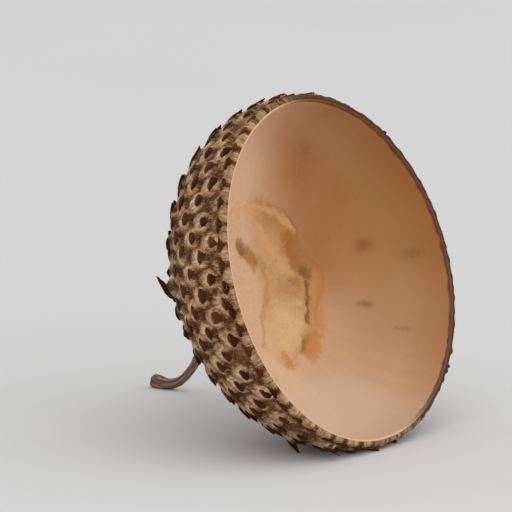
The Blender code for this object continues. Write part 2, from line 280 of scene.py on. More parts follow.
def wool_field(length, phi):
    """On a grid of lengths by angles: the height of the fused wool, and the along, across and number of the
    nearest scale. The heights are added as k log(1 + sum(exp(h / k) - 1)), which rounds the creases."""
    shape = (len(length), len(phi))
    height, along, across, number = np.zeros((4, *shape))
    column = np.arange(len(phi))
    for row, here in enumerate(length):
        near = np.flatnonzero(np.abs(PLACE - here) < 1.1 * SIZE)
        if not len(near):
            continue
        a = np.repeat(((here - PLACE[near]) / SIZE[near])[:, None], len(phi), axis=1)
        c = turned(phi, TURN[near][:, None]) * skin_radius_at(here) / SIZE[near][:, None]
        stands = WOOL_HEIGHT_SHARE * (SIZE * LIFT)[near][:, None] * wool_body(a, c)
        height[row] = WOOL_FUSING * np.log1p(np.expm1(stands / WOOL_FUSING).sum(axis=0))
        nearest = np.argmin(a**2 + (c * 1.15) ** 2, axis=0)
        along[row], across[row], number[row] = a[nearest, column], c[nearest, column], near[nearest]
    return height, along, across, number


def bowl_profile(omega):
    """(radius, height) of the smooth inside: omega is 0 in the middle and a quarter turn at the rim."""
    return BOWL_RADIUS * np.sin(omega) ** BOWL_FULLNESS, -BOWL_DEPTH * np.cos(omega) ** BOWL_FULLNESS


def scar_edge(phi):
    """Radius of the scar's ragged edge."""
    return SCAR_RADIUS * (1 + 0.05 * np.sin(5 * phi + 1) + 0.04 * np.sin(8 * phi + 2.5))


# Meshes

def closed_forms(rings, values, start=None, end=None):
    """(points, quads, triangles, values) of closed forms. Each runs from its start point through its rings to
    its end point, which are the middles of its first and last ring where none is given. rings is (form, ring,
    point round it, xyz). Values are given for each ring or each point."""
    forms, along, around = rings.shape[:3]
    start = rings[:, 0].mean(axis=1) if start is None else start
    end = rings[:, -1].mean(axis=1) if end is None else end
    points = np.concatenate([rings.reshape(forms, -1, 3), start[:, None], end[:, None]], axis=1)
    each = along * around + 2
    here = np.arange(around)
    there = (here + 1) % around
    row = np.arange(along - 1)[:, None] * around
    quads = stacked(row + here, row + there, row + around + there, row + around + here).reshape(-1, 4)
    last = (along - 1) * around
    caps = np.concatenate([
        np.stack([there, here, np.full(around, each - 2)], axis=-1),
        np.stack([last + here, last + there, np.full(around, each - 1)], axis=-1)])
    offset = np.arange(forms)[:, None, None] * each
    spread = {}
    for name, value in values.items():
        if value.ndim == 2:
            value = np.broadcast_to(value[..., None], (forms, along, around))
        flat = value.reshape(forms, along * around, -1)
        ends = [value[:, ring].mean(axis=1).reshape(forms, 1, -1) for ring in (0, -1)]
        spread[name] = np.concatenate([flat, *ends], axis=1).reshape(forms * each, -1)
    return points.reshape(-1, 3), (quads + offset).reshape(-1, 4), (caps + offset).reshape(-1, 3), spread


def piece(name, form, material, replaces=()):
    """The form as a named mesh piece that rides on the one body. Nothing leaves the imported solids' box."""
    points, quads, triangles, values = form
    points = np.clip(points, CAD_BOX[0], CAD_BOX[1])
    mesh = bpy.data.meshes.new(name)
    mesh.vertices.add(len(points))
    mesh.vertices.foreach_set("co", points.astype(np.float32).ravel())
    corners = np.concatenate([quads.ravel(), triangles.ravel()]).astype(np.int32)
    sides = np.concatenate([np.full(len(quads), 4), np.full(len(triangles), 3)])
    mesh.loops.add(len(corners))
    mesh.loops.foreach_set("vertex_index", corners)
    mesh.polygons.add(len(sides))
    mesh.polygons.foreach_set("loop_start", (np.cumsum(sides) - sides).astype(np.int32))
    mesh.update(calc_edges=True)
    for label, value in values.items():
        kind, field = ("FLOAT", "value") if value.shape[1] == 1 else ("FLOAT_VECTOR", "vector")
        mesh.attributes.new(label, kind, "POINT").data.foreach_set(field, value.astype(np.float32).ravel())
    mesh.shade_smooth()
    mesh.materials.append(material)
    made = bpy.data.objects.new(name, mesh)
    bpy.context.scene.collection.objects.link(made)
    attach(made, "root")
    if replaces:
        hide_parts(*replaces)


# Materials

def tone(code):
    """Linear RGBA of an sRGB hex colour."""
    parts = [int(code[at:at + 2], 16) / 255 for at in (1, 3, 5)]
    return (*[part / 12.92 if part <= 0.04045 else ((part + 0.055) / 1.055) ** 2.4 for part in parts], 1.0)


def add(tree, kind, inputs, output=0, **settings):
    """Adds one shader node with its settings, feeds its inputs with sockets or numbers, and returns an
    output."""
    made = tree.nodes.new("ShaderNode" + kind)
    for name, value in settings.items():
        setattr(made, name, value)
    for name, value in inputs.items():
        if isinstance(value, bpy.types.NodeSocket):
            tree.links.new(value, made.inputs[name])
        else:
            made.inputs[name].default_value = value
    return made.outputs[output]


def set_stops(ramp, first, last, *between):
    """Gives a colour ramp its end colours, and the (position, colour) stops between them."""
    stops = ramp.node.color_ramp.elements
    stops[0].color, stops[1].color = tone(first), tone(last)
    for position, code in between:
        stops.new(position).color = tone(code)


def new_material(name, **shader_inputs):
    """(material, its tree, its shader), with constants on the shader's own sockets."""
    made = bpy.data.materials.new(name)
    made.use_nodes = True
    shader = made.node_tree.nodes["Principled BSDF"]
    for socket, value in shader_inputs.items():
        shader.inputs[socket.replace("_", " ")].default_value = value
    return made, made.node_tree, shader


def wire(tree, shader, **sockets):
    """Links sockets to the shader's inputs of these names."""
    for name, socket in sockets.items():
        tree.links.new(socket, shader.inputs[name.replace("_", " ")])


def fibrous_wool():
    """Tomentum, the dry matted wool of the cup: dull and soft, pale on the crests and browner in the valleys
    between scales, partly its own brown and partly painted shade, and dark round each tip, partly stain and
    partly painted shade under the tip. Along the rim's edge it is stained, with painted shade on the side
    away from the light. Towards the base it is greyer, with brown flecks and pale bloom. Its fibres are drawn
    several times as coarse as real ones, so that they show."""
    made, tree, shader = new_material(
        "cup_wool_tomentum", Roughness=0.9, IOR=1.45, Specular_IOR_Level=0.12, Sheen_Weight=0.10,
        Sheen_Roughness=0.55, Sheen_Tint=tone("#E8D4B8"))
    place = add(tree, "TexCoord", {}, "Object")
    crest, stain_and_painted_shade, base = (add(tree, "Attribute", {}, "Fac", attribute_name=name)
                          for name in ("crest", "stain_and_painted_shade", "base"))
    grain = add(tree, "Attribute", {}, "Vector", attribute_name="grain")
    fibre = add(tree, "TexNoise", {"Vector": grain, "Scale": 1.0, "Detail": 4.0, "Roughness": 0.65})
    clump, patch, speck, crumb = (
        add(tree, "TexNoise", {"Vector": place, "Scale": 1 / (width * MM), "Detail": detail})
        for width, detail in ((0.35, 3.0), (2.6, 2.0), (0.09, 2.0), (0.20, 4.0)))

    # Lower wool is painted browner: the valleys between scales, partly their own brown and partly painted
    # shade.
    shown = add(tree, "Math", {0: fibre, 1: 1.8, 2: crest}, operation="MULTIPLY_ADD")
    shown = add(tree, "Math", {0: shown, 1: clump}, operation="ADD")
    shown = add(tree, "MapRange", {"Value": shown, 1: 1.30, 2: 2.45})
    wool = add(tree, "ValToRGB", {"Fac": shown})
    set_stops(wool, "#4C290E", "#E8CCA8", (0.22, "#7E5432"), (0.46, "#B28860"), (0.74, "#D4B08A"))

    greyed = add(tree, "Math", {0: base, 1: 0.45}, operation="MULTIPLY")
    rub = add(tree, "MapRange", {"Value": patch, 1: 0.56, 2: 0.70, 4: 0.6})
    near_base = []
    spots = (patch, 0.44, 0.30, 0.55), (crumb, 0.53, 0.66, 0.8), (crumb, 0.46, 0.34, 0.5)
    for noise, low, high, most in spots:
        share = add(tree, "MapRange", {"Value": noise, 1: low, 2: high, 4: most})
        near_base.append(add(tree, "Math", {0: share, 1: base}, operation="MULTIPLY"))
    damp, fleck, bloom = near_base
    # Dark brown round each tip and along the rim's edge: stain, with painted shade under the tips and on the
    # rim's side away from the light.
    ragged = add(tree, "Math", {0: speck, 1: 0.55}, operation="SUBTRACT")
    ragged = add(tree, "Math", {0: ragged, 1: 0.9, 2: stain_and_painted_shade}, operation="MULTIPLY_ADD")
    dark = add(tree, "MapRange", {"Value": ragged, 1: 0.30, 2: 0.75, 4: 0.92})
    colour = wool
    for share, code in ((greyed, "#A89A88"), (rub, "#8A5A3C"), (damp, "#8F8F70"), (fleck, "#5E4028"),
                        (bloom, "#D8C6AA"), (dark, "#442109")):
        colour = add(tree, "Mix", {0: share, 6: colour, 7: tone(code)}, 2, data_type="RGBA")

    rough = add(tree, "Math", {0: fibre, 1: speck}, operation="ADD")
    bump = add(tree, "Bump", {"Strength": 0.8, "Distance": 0.05 * MM, "Height": rough})
    wire(tree, shader, Base_Color=colour, Normal=bump)
    return made


def dry_scale_tip():
    """The dry, thin tip of a scale, like bark: dark brown with hardly any gloss, paler at its root, where
    wool clings to it, and where it is worn. Each tip has its own brown."""
    made, tree, shader = new_material("dry_scale_tip", Roughness=0.65, IOR=1.5, Specular_IOR_Level=0.05)
    place = add(tree, "TexCoord", {}, "Object")
    each, out = (add(tree, "Attribute", {}, "Fac", attribute_name=name) for name in ("each", "out"))
    worn = add(tree, "TexNoise", {"Vector": place, "Scale": 1 / (0.12 * MM), "Detail": 3.0})
    root = add(tree, "MapRange", {"Value": out, 1: 0.45, 2: 0.0, 4: 0.8})
    root = add(tree, "Math", {0: root, 1: worn}, operation="MULTIPLY")
    edge = add(tree, "MapRange", {"Value": worn, 1: 0.58, 2: 0.72, 4: 0.4})
    brown = tone("#341706")
    for share, code in ((each, "#5A3012"), (root, "#A88C6E"), (edge, "#74482A")):
        brown = add(tree, "Mix", {0: share, 6: brown, 7: tone(code)}, 2, data_type="RGBA")
    bump = add(tree, "Bump", {"Strength": 0.5, "Distance": 0.03 * MM, "Height": worn})
    wire(tree, shader, Base_Color=brown, Normal=bump)
    return made


def wool_fibre():
    """Single hairs that stand out of the matted wool: pale, dry and without gloss."""
    made, tree, shader = new_material("wool_fibre", Roughness=0.9, IOR=1.45, Specular_IOR_Level=0.2)
    each = add(tree, "Attribute", {}, "Fac", attribute_name="each")
    pale = add(tree, "Mix", {0: each, 6: tone("#7E5F42"), 7: tone("#C8B294")}, 2, data_type="RGBA")
    wire(tree, shader, Base_Color=pale)
    return made


# The marks painted on the bowl, in order: (name, colour, where the mark starts and is full, strength).
BOWL_COATS = (
    ("far_wall_orange", "#AE7A3C", 0.0, 1.0, 0.5), ("low_wall_pale", "#CFB49D", 0.0, 1.0, 0.6),
    ("smudge", "#7E4E1E", 0.1, 0.9, 0.72), ("scar", "#BE8D52", 0.1, 0.9, 0.62),
    ("ochre", "#A0671F", 0.0, 1.0, 0.85), ("pale", "#D4A26C", 0.0, 1.0, 0.85),
    ("cream", "#D4B27C", 0.0, 1.0, 0.9), ("orange", "#BE7A32", 0.0, 1.0, 0.85),
    # The dark torn mark is partly painted shadow in the scar's sunk lines, and the rim mark is painted shade
    # on the rim's edge away from the light.
    ("torn_and_shadow", "#7E4E16", 0.0, 1.0, 0.88), ("rim", "#58321A", 0.1, 0.95, 0.92))


def satin_bowl():
    """Inner wall of the cup: hard, fine-grained tissue with a low satin gloss, peach to tan, with faint
    streaks that run to the rim. Its brown on the far wall is partly painted shade, its near side is left pale
    as painted light, and the dark edge along the rim on the side away from the light is painted shade. The
    scar is drier and dull, with cream skin, ochre and a dark torn line that is partly painted shadow."""
    made, tree, shader = new_material("satin_bowl", IOR=1.48, Specular_IOR_Level=0.35)
    place = add(tree, "TexCoord", {}, "Object")
    marks = {name: add(tree, "Attribute", {}, "Fac", attribute_name=name)
             for name in ("tint_and_painted_shade", *(coat[0] for coat in BOWL_COATS))}
    grain = add(tree, "Attribute", {}, "Vector", attribute_name="grain")
    streak = add(tree, "TexNoise", {"Vector": grain, "Scale": 1.0, "Detail": 4.0, "Roughness": 0.6})
    cloud, fine = (add(tree, "TexNoise", {"Vector": place, "Scale": 1 / (width * MM), "Detail": 3.0})
                   for width in (3.2, 0.11))

    lighter = add(tree, "MapRange", {"Value": cloud, 1: 0.35, 2: 0.68, 4: 0.18})
    # The tint mask turns the peach to brown: partly the wall's own colour, partly painted shade on the far
    # wall.
    colour = tone("#DEB998")
    for share, code in ((marks["tint_and_painted_shade"], "#A26932"), (lighter, "#D8A878")):
        colour = add(tree, "Mix", {0: share, 6: colour, 7: tone(code)}, 2, data_type="RGBA")
    vein = add(tree, "MapRange", {"Value": streak, 1: 0.35, 2: 0.70, 3: 0.96, 4: 1.03})
    colour = add(tree, "VectorMath", {0: colour, "Scale": vein}, operation="SCALE")
    uneven = add(tree, "Math", {0: fine, 1: 0.5}, operation="SUBTRACT")
    for mark, code, low, high, most in BOWL_COATS:
        edged = add(tree, "Math", {0: uneven, 1: 0.6, 2: marks[mark]}, operation="MULTIPLY_ADD")
        share = add(tree, "MapRange", {"Value": edged, 1: low, 2: high, 4: most},
                    interpolation_type="SMOOTHSTEP")
        colour = add(tree, "Mix", {0: share, 6: colour, 7: tone(code)}, 2, data_type="RGBA")

    dull = add(tree, "MapRange", {"Value": marks["scar"], 1: 0.2, 2: 0.8, 3: 0.42, 4: 0.75})
    dull = add(tree, "Math", {0: streak, 1: 0.16, 2: dull}, operation="MULTIPLY_ADD")
    rough = add(tree, "Math", {0: fine, 1: marks["scar"]}, operation="MULTIPLY")
    rough = add(tree, "Math", {0: streak, 1: 0.15, 2: rough}, operation="MULTIPLY_ADD")
    bump = add(tree, "Bump", {"Strength": 0.35, "Distance": 0.04 * MM, "Height": rough})
    wire(tree, shader, Base_Color=colour, Roughness=dull, Normal=bump)
    return made


def stalk_bark():
    """Thin bark over wood fibres, dried: grey-brown, with paler ridges and dark furrows along the stalk and a
    slight gloss on the ridges. The broken end shows dark old wood."""
    made, tree, shader = new_material("stalk_bark", IOR=1.5, Specular_IOR_Level=0.4)
    place = add(tree, "TexCoord", {}, "Object")
    ridge, end = (add(tree, "Attribute", {}, "Fac", attribute_name=name) for name in ("ridge", "end"))
    grain = add(tree, "Attribute", {}, "Vector", attribute_name="grain")
    fibre = add(tree, "TexNoise", {"Vector": grain, "Scale": 1.0, "Detail": 5.0, "Roughness": 0.6})
    patch = add(tree, "TexNoise", {"Vector": place, "Scale": 1 / (0.8 * MM), "Detail": 3.0})
    shown = add(tree, "Math", {0: fibre, 1: 1.2, 2: ridge}, operation="MULTIPLY_ADD")
    shown = add(tree, "MapRange", {"Value": shown, 1: 0.45, 2: 1.55})
    bark = add(tree, "ValToRGB", {"Fac": shown})
    set_stops(bark, "#2E1C12", "#A88A70", (0.35, "#54392A"), (0.65, "#7A5A46"))
    grey = add(tree, "MapRange", {"Value": patch, 1: 0.52, 2: 0.68, 4: 0.5})
    for share, code in ((grey, "#8A7060"), (end, "#553B2B")):
        bark = add(tree, "Mix", {0: share, 6: bark, 7: tone(code)}, 2, data_type="RGBA")
    dull = add(tree, "MapRange", {"Value": fibre, 1: 0.3, 2: 0.7, 3: 0.62, 4: 0.46})
    bump = add(tree, "Bump", {"Strength": 0.6, "Distance": 0.04 * MM, "Height": fibre})
    wire(tree, shader, Base_Color=bark, Roughness=dull, Normal=bump)
    return made


def corky_collar():
    """Corky ring where the stalk leaves the cup: pale, dry and crumbly, darker in its cracks."""
    made, tree, shader = new_material("corky_collar", Roughness=0.85, IOR=1.45, Specular_IOR_Level=0.25)
    place = add(tree, "TexCoord", {}, "Object")
    crest = add(tree, "Attribute", {}, "Fac", attribute_name="crest")
    crumb = add(tree, "TexNoise", {"Vector": place, "Scale": 1 / (0.18 * MM), "Detail": 4.0})
    shown = add(tree, "Math", {0: crumb, 1: crest}, operation="ADD")
    shown = add(tree, "MapRange", {"Value": shown, 1: 0.5, 2: 1.5})
    cork = add(tree, "ValToRGB", {"Fac": shown})
    set_stops(cork, "#4E3320", "#D6BE9C", (0.5, "#A58560"))
    bump = add(tree, "Bump", {"Strength": 0.7, "Distance": 0.05 * MM, "Height": crumb})
    wire(tree, shader, Base_Color=cork, Normal=bump)
    return made


# The cup's outside

WOOL_ROWS = 145
WOOL_COLUMNS = 600
WOOL_LENGTH = np.linspace(0.30 * MM, RIM_LENGTH, WOOL_ROWS)
WOOL_PHI = full_turn(WOOL_COLUMNS)
WOOL_HEIGHT, WOOL_ALONG, WOOL_ACROSS, WOOL_NUMBER = wool_field(WOOL_LENGTH, WOOL_PHI)
FULL_CREST = 0.24 * MM  # wool this high is at its palest; lower wool is painted browner, partly as shade in the valleys
TUFTS = ((0.60, 0.016, 11), (0.26, 0.010, 12))  # random hills on the wool, as (width, height, seed), in mm
STRAND_HEIGHT, STRAND_SEED = 0.012, 13  # the height in mm
RIM_KNOB_HEIGHT, RIM_KNOB_SEED = 0.035, 14  # the height in mm
OUTER_LIP = np.array([(8.77, 0.050), (8.70, 0.090), (8.61, 0.100), (8.54, 0.050)]) * MM  # (radius, height)
INNER_LIP = np.array([
    (8.475, 0.040), (8.500, 0.070), (8.530, 0.092), (8.560, 0.098), (8.585, 0.085), (8.600, 0.050)]) * MM
HIDDEN_RINGS = np.radians(np.linspace(88, 5, 14))[:, None]


def wool_height_at(length, phi):
    """The wool's height anywhere, from the four grid points round it."""
    row = np.clip((length - WOOL_LENGTH[0]) / (WOOL_LENGTH[1] - WOOL_LENGTH[0]), 0, WOOL_ROWS - 1.001)
    column = (phi % (2 * math.pi)) / (2 * math.pi) * WOOL_COLUMNS
    low, left = row.astype(int), column.astype(int)
    up, right = row - low, column - left
    near, far = left % WOOL_COLUMNS, (left + 1) % WOOL_COLUMNS
    below = WOOL_HEIGHT[low, near] * (1 - right) + WOOL_HEIGHT[low, far] * right
    above = WOOL_HEIGHT[low + 1, near] * (1 - right) + WOOL_HEIGHT[low + 1, far] * right
    return below * (1 - up) + above * up


def lip_rings(lip, phi, knobs=0.0):
    """A half of the lip: its (radius, height) profile carried round the oval mouth, pushed out by knobs."""
    radius = lip[:, :1] * oval(phi) + knobs
    return carried_round(radius, phi, lip[:, 1:])


def wall_middle(quarter, phi):
    """Points halfway through the wall, where the outside's piece and the lining's piece meet unseen."""
    outer, inner = skin_profile(quarter), bowl_profile(quarter)
    radius = (outer[0] + inner[0]) / 2 * oval(phi)
    height = (outer[1] + inner[1]) / 2
    return stacked(radius * np.cos(phi) + LEAN * height, radius * np.sin(phi), height)


def carried_on(value, rings):
    """One form's values, the last ring's repeated until there is one for each ring."""
    return np.concatenate([value, np.repeat(value[-1:], rings - len(value), axis=0)])[None]


def woolly_outside():
    """Rings from the boss to the rim, raised by the wool, then over the lip's outer half and back inside the
    wall. The wool is raised by its tufts and strands, and never quite reaches the skin near the rim."""
    length, phi = np.meshgrid(WOOL_LENGTH, WOOL_PHI, indexing="ij")
    flat = skin_point(length, phi)
    strand = np.stack([WOOL_ACROSS * 4.2, WOOL_ALONG * 1.1, WOOL_NUMBER * 3.7], axis=-1)
    tufts = sum(ripple(flat, width * MM, seed) * height for width, height, seed in TUFTS)
    tufts += ripple(strand, 1.0, STRAND_SEED) * STRAND_HEIGHT
    fade = smooth_step(RIM_LENGTH + 0.06 * MM, RIM_LENGTH - 0.12 * MM, length)
    under_rim = 0.42 * smooth_step(RIM_LENGTH - 0.55 * MM, RIM_LENGTH - 0.15 * MM, length)
    raised = np.maximum(np.maximum(WOOL_HEIGHT, under_rim * 0.16 * MM) + tufts * MM, 0.0) * fade
    knobs = ripple(carried_round(1, WOOL_PHI), 0.09, RIM_KNOB_SEED)
    knobs = np.maximum(knobs, -0.5) * RIM_KNOB_HEIGHT * MM
    knobs = np.array([1.0, 0.8, 0.4, 0.0])[:, None] * knobs
    rings = in_row_frame(np.concatenate([
        skin_point(length, phi, raised), lip_rings(OUTER_LIP, WOOL_PHI, knobs),
        wall_middle(HIDDEN_RINGS, WOOL_PHI)]))[None]

    # Painted shade under and round each scale's dark tip, over the wool's own brown there, weaker towards the
    # base.
    tips = bump_at(WOOL_ALONG, 0.31, 0.33) * bump_at(WOOL_ACROSS, 0.0, 0.30)
    small = 0.35 + 0.65 * smooth_step(3.0 * MM, 8.0 * MM, length)
    # Dark along the rim's outer edge: a faint stain all round, deepened by painted shade on the side away
    # from the light.
    rim_stain_and_shade = 0.25 + 0.75 * rim_wear_and_painted_shade(phi)
    rim_stain_and_shade *= smooth_step(RIM_LENGTH - 0.34 * MM, RIM_LENGTH - 0.14 * MM, length)
    values = {
        "crest": np.maximum(np.clip(WOOL_HEIGHT / FULL_CREST, 0, 1), under_rim),
        "stain_and_painted_shade": np.maximum(tips * small, rim_stain_and_shade),
        "base": smooth_step(9.0 * MM, 3.0 * MM, length),
        "grain": np.stack([WOOL_ACROSS * 12, WOOL_ALONG * 3.2, WOOL_NUMBER * 3.7], axis=-1),
    }
    values = {name: carried_on(value, rings.shape[1]) for name, value in values.items()}
    start = in_row_frame(skin_point(np.array([0.0]), np.array([0.0])))
    return closed_forms(rings, values, start)


TIP_SEED = 22
TIP_STATIONS = np.array([0.04, 0.15, 0.30, 0.48, 0.66, 0.82, 0.94])
TIP_SIDES = 8
TIP_SIZES = {  # by row, in scale sizes: (half width, how far the end climbs clear of the wool)
    "spiral": (0.285, 0.125),
    "rim": (0.36, 0.06),
}
TIP_LENGTH = 0.76
TIP_SUNK = 0.055
TIP_THICKNESS = 0.085


def tip_forms():
    """Every scale's dark tip: an oval section that swells, flattens and ends in a point clear of the wool.
    Its root is sunk in the wool. Towards the base the tips are smaller, where the wool has grown over them,
    and along the weathered rim they are worn down."""
    chance = np.random.default_rng(TIP_SEED)
    count = len(PLACE)
    in_spiral = SIZE > RIM_SCALE_SIZE
    half_width, climb = (np.where(in_spiral, *pair) for pair in zip(TIP_SIZES["spiral"], TIP_SIZES["rim"]))
    grown = (0.45 + 0.55 * smooth_step(2.0 * MM, 8.0 * MM, PLACE)) * chance.uniform(0.86, 1.14, count)
    width = np.sin(math.pi * TIP_STATIONS**0.64) ** 0.9
    begins = 0.28 - 0.40 * grown + chance.uniform(-0.03, 0.03, count)
    worn = rim_wear_and_painted_shade(TURN) * smooth_step(RIM_LENGTH - 2.4 * MM, RIM_LENGTH - 1.0 * MM, PLACE)
    long = TIP_LENGTH * grown * (0.55 + 0.45 * LIFT) * (1 - 0.15 * worn)
    reach = begins[:, None] + long[:, None] * TIP_STATIONS
    ragged = chance.uniform(0.84, 1.16, (count, len(TIP_STATIONS)))
    half = half_width[:, None] * (grown / LIFT**0.45)[:, None] * width * ragged
    skew = chance.normal(0, 0.13, count)[:, None] * (TIP_STATIONS - 0.15)
    skew += SIDE_LEAN[:, None] * (TIP_STATIONS - 0.6)
    around = full_turn(TIP_SIDES)
    across = half[:, :, None] * np.cos(around) + skew[:, :, None]
    length = (PLACE[:, None] + reach * SIZE[:, None])[:, :, None] + np.zeros_like(across)
    phi = TURN[:, None, None] + across * (SIZE / skin_radius_at(PLACE))[:, None, None]

    seat = wool_height_at(PLACE + 0.20 * SIZE, TURN)
    root = wool_height_at(PLACE + begins * SIZE, TURN + skew[:, 0] * SIZE / skin_radius_at(PLACE))
    root = np.minimum(root, seat)
    seat = root[:, None] + (seat - root)[:, None] * smooth_step(0.0, 0.4, TIP_STATIONS)
    climb = (climb + in_spiral * 0.56 * np.maximum(LIFT - 1, 0)) * (1 - 0.55 * worn)
    rise = (climb[:, None] * TIP_STATIONS**1.5 - TIP_SUNK) * SIZE[:, None]
    thick = TIP_THICKNESS * width**0.7 * (1 - 0.35 * TIP_STATIONS) * (SIZE * grown)[:, None]
    raised = (seat + rise)[:, :, None] + thick[:, :, None] * np.sin(around)
    rings = in_row_frame(skin_point(length, phi, raised))
    end = rings[:, -1].mean(axis=1)
    end = end + (end - rings[:, -2].mean(axis=1)) * 0.5
    values = {
        "each": np.repeat(chance.uniform(0, 1, count)[:, None], len(TIP_STATIONS), axis=1),
        "out": np.repeat(TIP_STATIONS[None, :], count, axis=0),
    }
    return closed_forms(rings, values, end=end)


HAIRS = 6500
HAIR_SEED = 33
HAIR_LENGTH = (0.16, 0.42)  # shortest and longest, in mm
HAIR_STANDS = (0.015, 0.075)  # how far hairs stand off the wool, in mm
HAIR_SUNK = 0.008 * MM
HAIR_STATIONS = np.array([0.0, 0.35, 0.7, 1.0])
HAIR_GIRTH = np.array([0.010, 0.009, 0.007, 0.003]) * MM


def hair_forms():
    """Hairs of the wool: three-sided tapers that leave the surface near a scale's side and curl towards the
    rim."""
    chance = np.random.default_rng(HAIR_SEED)
    area = chance.uniform(0.012, 0.985, HAIRS) ** 1.5 * SKIN_AREA[-1]
    start = np.interp(area, SKIN_AREA, SKIN_LENGTH)
    turn = chance.uniform(0, 2 * math.pi, HAIRS)
    heading = chance.normal(0, 0.65, HAIRS)
    curl = chance.normal(0, 0.9, HAIRS)
    long = chance.uniform(*HAIR_LENGTH, HAIRS) * MM
    bearing = heading[:, None] + curl[:, None] * HAIR_STATIONS
    step = np.diff(HAIR_STATIONS, prepend=0.0) * long[:, None]
    length = start[:, None] + np.cumsum(np.cos(bearing) * step, axis=1)
    length = np.minimum(length, RIM_LENGTH - 0.02 * MM)
    sideways = np.cumsum(np.sin(bearing) * step, axis=1)
    phi = turn[:, None] + sideways / skin_radius_at(np.maximum(start, 1.0 * MM))[:, None]
    stands = chance.uniform(*HAIR_STANDS, HAIRS)[:, None] * MM
    raised = wool_height_at(length, phi) + stands * np.sin(math.pi * HAIR_STATIONS * 0.62) - HAIR_SUNK
    middle = skin_point(length, phi, raised)
    up = unit(skin_point(length, phi, raised + 1e-5) - middle)
    side = np.cross(unit(np.gradient(middle, axis=1)), up)
    around = full_turn(3)[:, None]
    ring = side[:, :, None] * np.cos(around) + up[:, :, None] * np.sin(around)
    rings = in_row_frame(middle[:, :, None] + ring * HAIR_GIRTH[None, :, None, None])
    values = {"each": np.repeat(chance.uniform(0, 1, HAIRS)[:, None], len(HAIR_STATIONS), axis=1)}
    return closed_forms(rings, values)


# The bowl and the scar

BOWL_COLUMNS = 500
# Faint marks on the bowl's wall: (radius, degrees, half length up the wall, half width, strength), in mm.
SMUDGES = ((6.80, 94.7, 0.60, 0.42, 0.80), (8.18, 87.8, 0.90, 0.40, 0.55), (6.45, 68.6, 0.55, 0.24, 0.75),
           (7.83, 60.0, 0.85, 0.22, 0.50), (7.17, 145.4, 0.55, 0.40, 0.45), (5.10, -20.0, 0.40, 0.30, 0.35))
# Strokes that draw the scar: (mark, strength, half width, path over the bowl's own x and y), in mm. The dark
# torn strokes are partly painted shadow along the scar's sunk lines.
SCAR_STROKES = (
    ("pale", 0.75, 0.20,
     ((-3.57, -1.44), (-3.75, -0.40), (-3.65, 0.90), (-3.10, 2.10), (-2.65, 2.70), (-2.15, 3.10))),
    # Painted shadow: the faint dark line just outside the pale arch.
    ("torn_and_shadow", 0.30, 0.14, ((-4.00, 0.90), (-3.45, 2.30), (-2.80, 3.15), (-2.10, 3.50))),
    ("ochre", 0.45, 0.48, ((-2.95, 1.25), (-2.70, 1.95), (-2.20, 2.50))),
    ("ochre", 1.00, 0.50, ((-1.70, 2.70), (-1.05, 2.65), (-0.45, 2.85))),
    ("ochre", 0.70, 0.60, ((-0.50, 3.05), (-0.10, 3.30))),
    ("pale", 0.65, 0.40, ((-2.60, 0.55), (-1.60, 1.05), (-0.80, 1.50), (-0.10, 2.05))),
    ("torn_and_shadow", 0.85, 0.30, ((-2.05, -1.15), (-1.70, -0.90))),
    ("ochre", 0.90, 0.42, ((-1.45, -0.65), (-1.05, -0.25))),
    ("ochre", 0.45, 0.18,
     ((-0.75, 0.32), (0.10, 0.28), (0.68, 0.08), (1.52, -0.73), (2.19, -1.11), (3.12, -1.51))),
    ("ochre", 0.40, 0.42, ((0.65, 1.20), (0.95, 2.30))),
    ("cream", 0.55, 0.16, ((1.23, 0.11), (1.40, 1.17), (1.57, 2.25))),
    ("cream", 0.90, 0.72, ((2.00, 0.55), (2.45, 1.25), (3.00, 0.80), (2.70, 0.10), (3.20, 0.05))),
    ("torn_and_shadow", 0.50, 0.26, ((0.30, 2.05), (0.42, 2.45))),
    ("torn_and_shadow", 0.85, 0.26, ((0.00, 3.10), (0.26, 3.30))),
    ("torn_and_shadow", 0.85, 0.14, ((0.70, 3.12), (1.66, 2.80), (2.55, 2.28))),
    ("ochre", 0.90, 0.40, ((3.35, 1.75), (3.65, 1.40))),
    ("torn_and_shadow", 0.45, 0.20, ((3.55, 1.62), (3.70, 1.45))),
    ("orange", 0.65, 0.42, ((0.38, 3.81), (1.32, 3.58), (2.24, 3.24), (2.82, 3.02))),
    ("orange", 0.95, 0.36, ((3.30, 2.60), (3.80, 2.20), (4.10, 1.65))),
    ("orange", 0.70, 0.34, ((3.90, -0.30), (4.25, -0.15))),
)
# How far each mark stands out of the scar, in mm.
SKIN_HEIGHTS = {"cream": 0.07, "pale": 0.05, "orange": 0.03, "ochre": -0.05, "torn_and_shadow": -0.09}
SCAR_FINE_RADIUS = 4.9 * MM
SCAR_ROWS = 100
WALL_ROWS = 62
BOWL_FINE = np.linspace(1e-3, math.pi / 2, 4000)
BOWL_RUN = np.concatenate([[0.0], np.cumsum(np.hypot(*(np.diff(part) for part in bowl_profile(BOWL_FINE))))])


def bowl_run_at(radius):
    """Length up the bowl's wall from its middle to this radius."""
    return np.interp(radius, bowl_profile(BOWL_FINE)[0], BOWL_RUN)


def nearness(x, y, path, half_width):
    """How near places lie to a path: 1 on it, half at its half width, fading out beyond."""
    nearest = np.full(x.shape, np.inf)
    for (ax, ay), (bx, by) in zip(path, path[1:]):
        dx, dy = bx - ax, by - ay
        share = np.clip(((x - ax) * dx + (y - ay) * dy) / (dx**2 + dy**2), 0, 1)
        nearest = np.minimum(nearest, np.hypot(x - ax - share * dx, y - ay - share * dy))
    return np.exp(-0.69 * (nearest / half_width) ** 2.4)


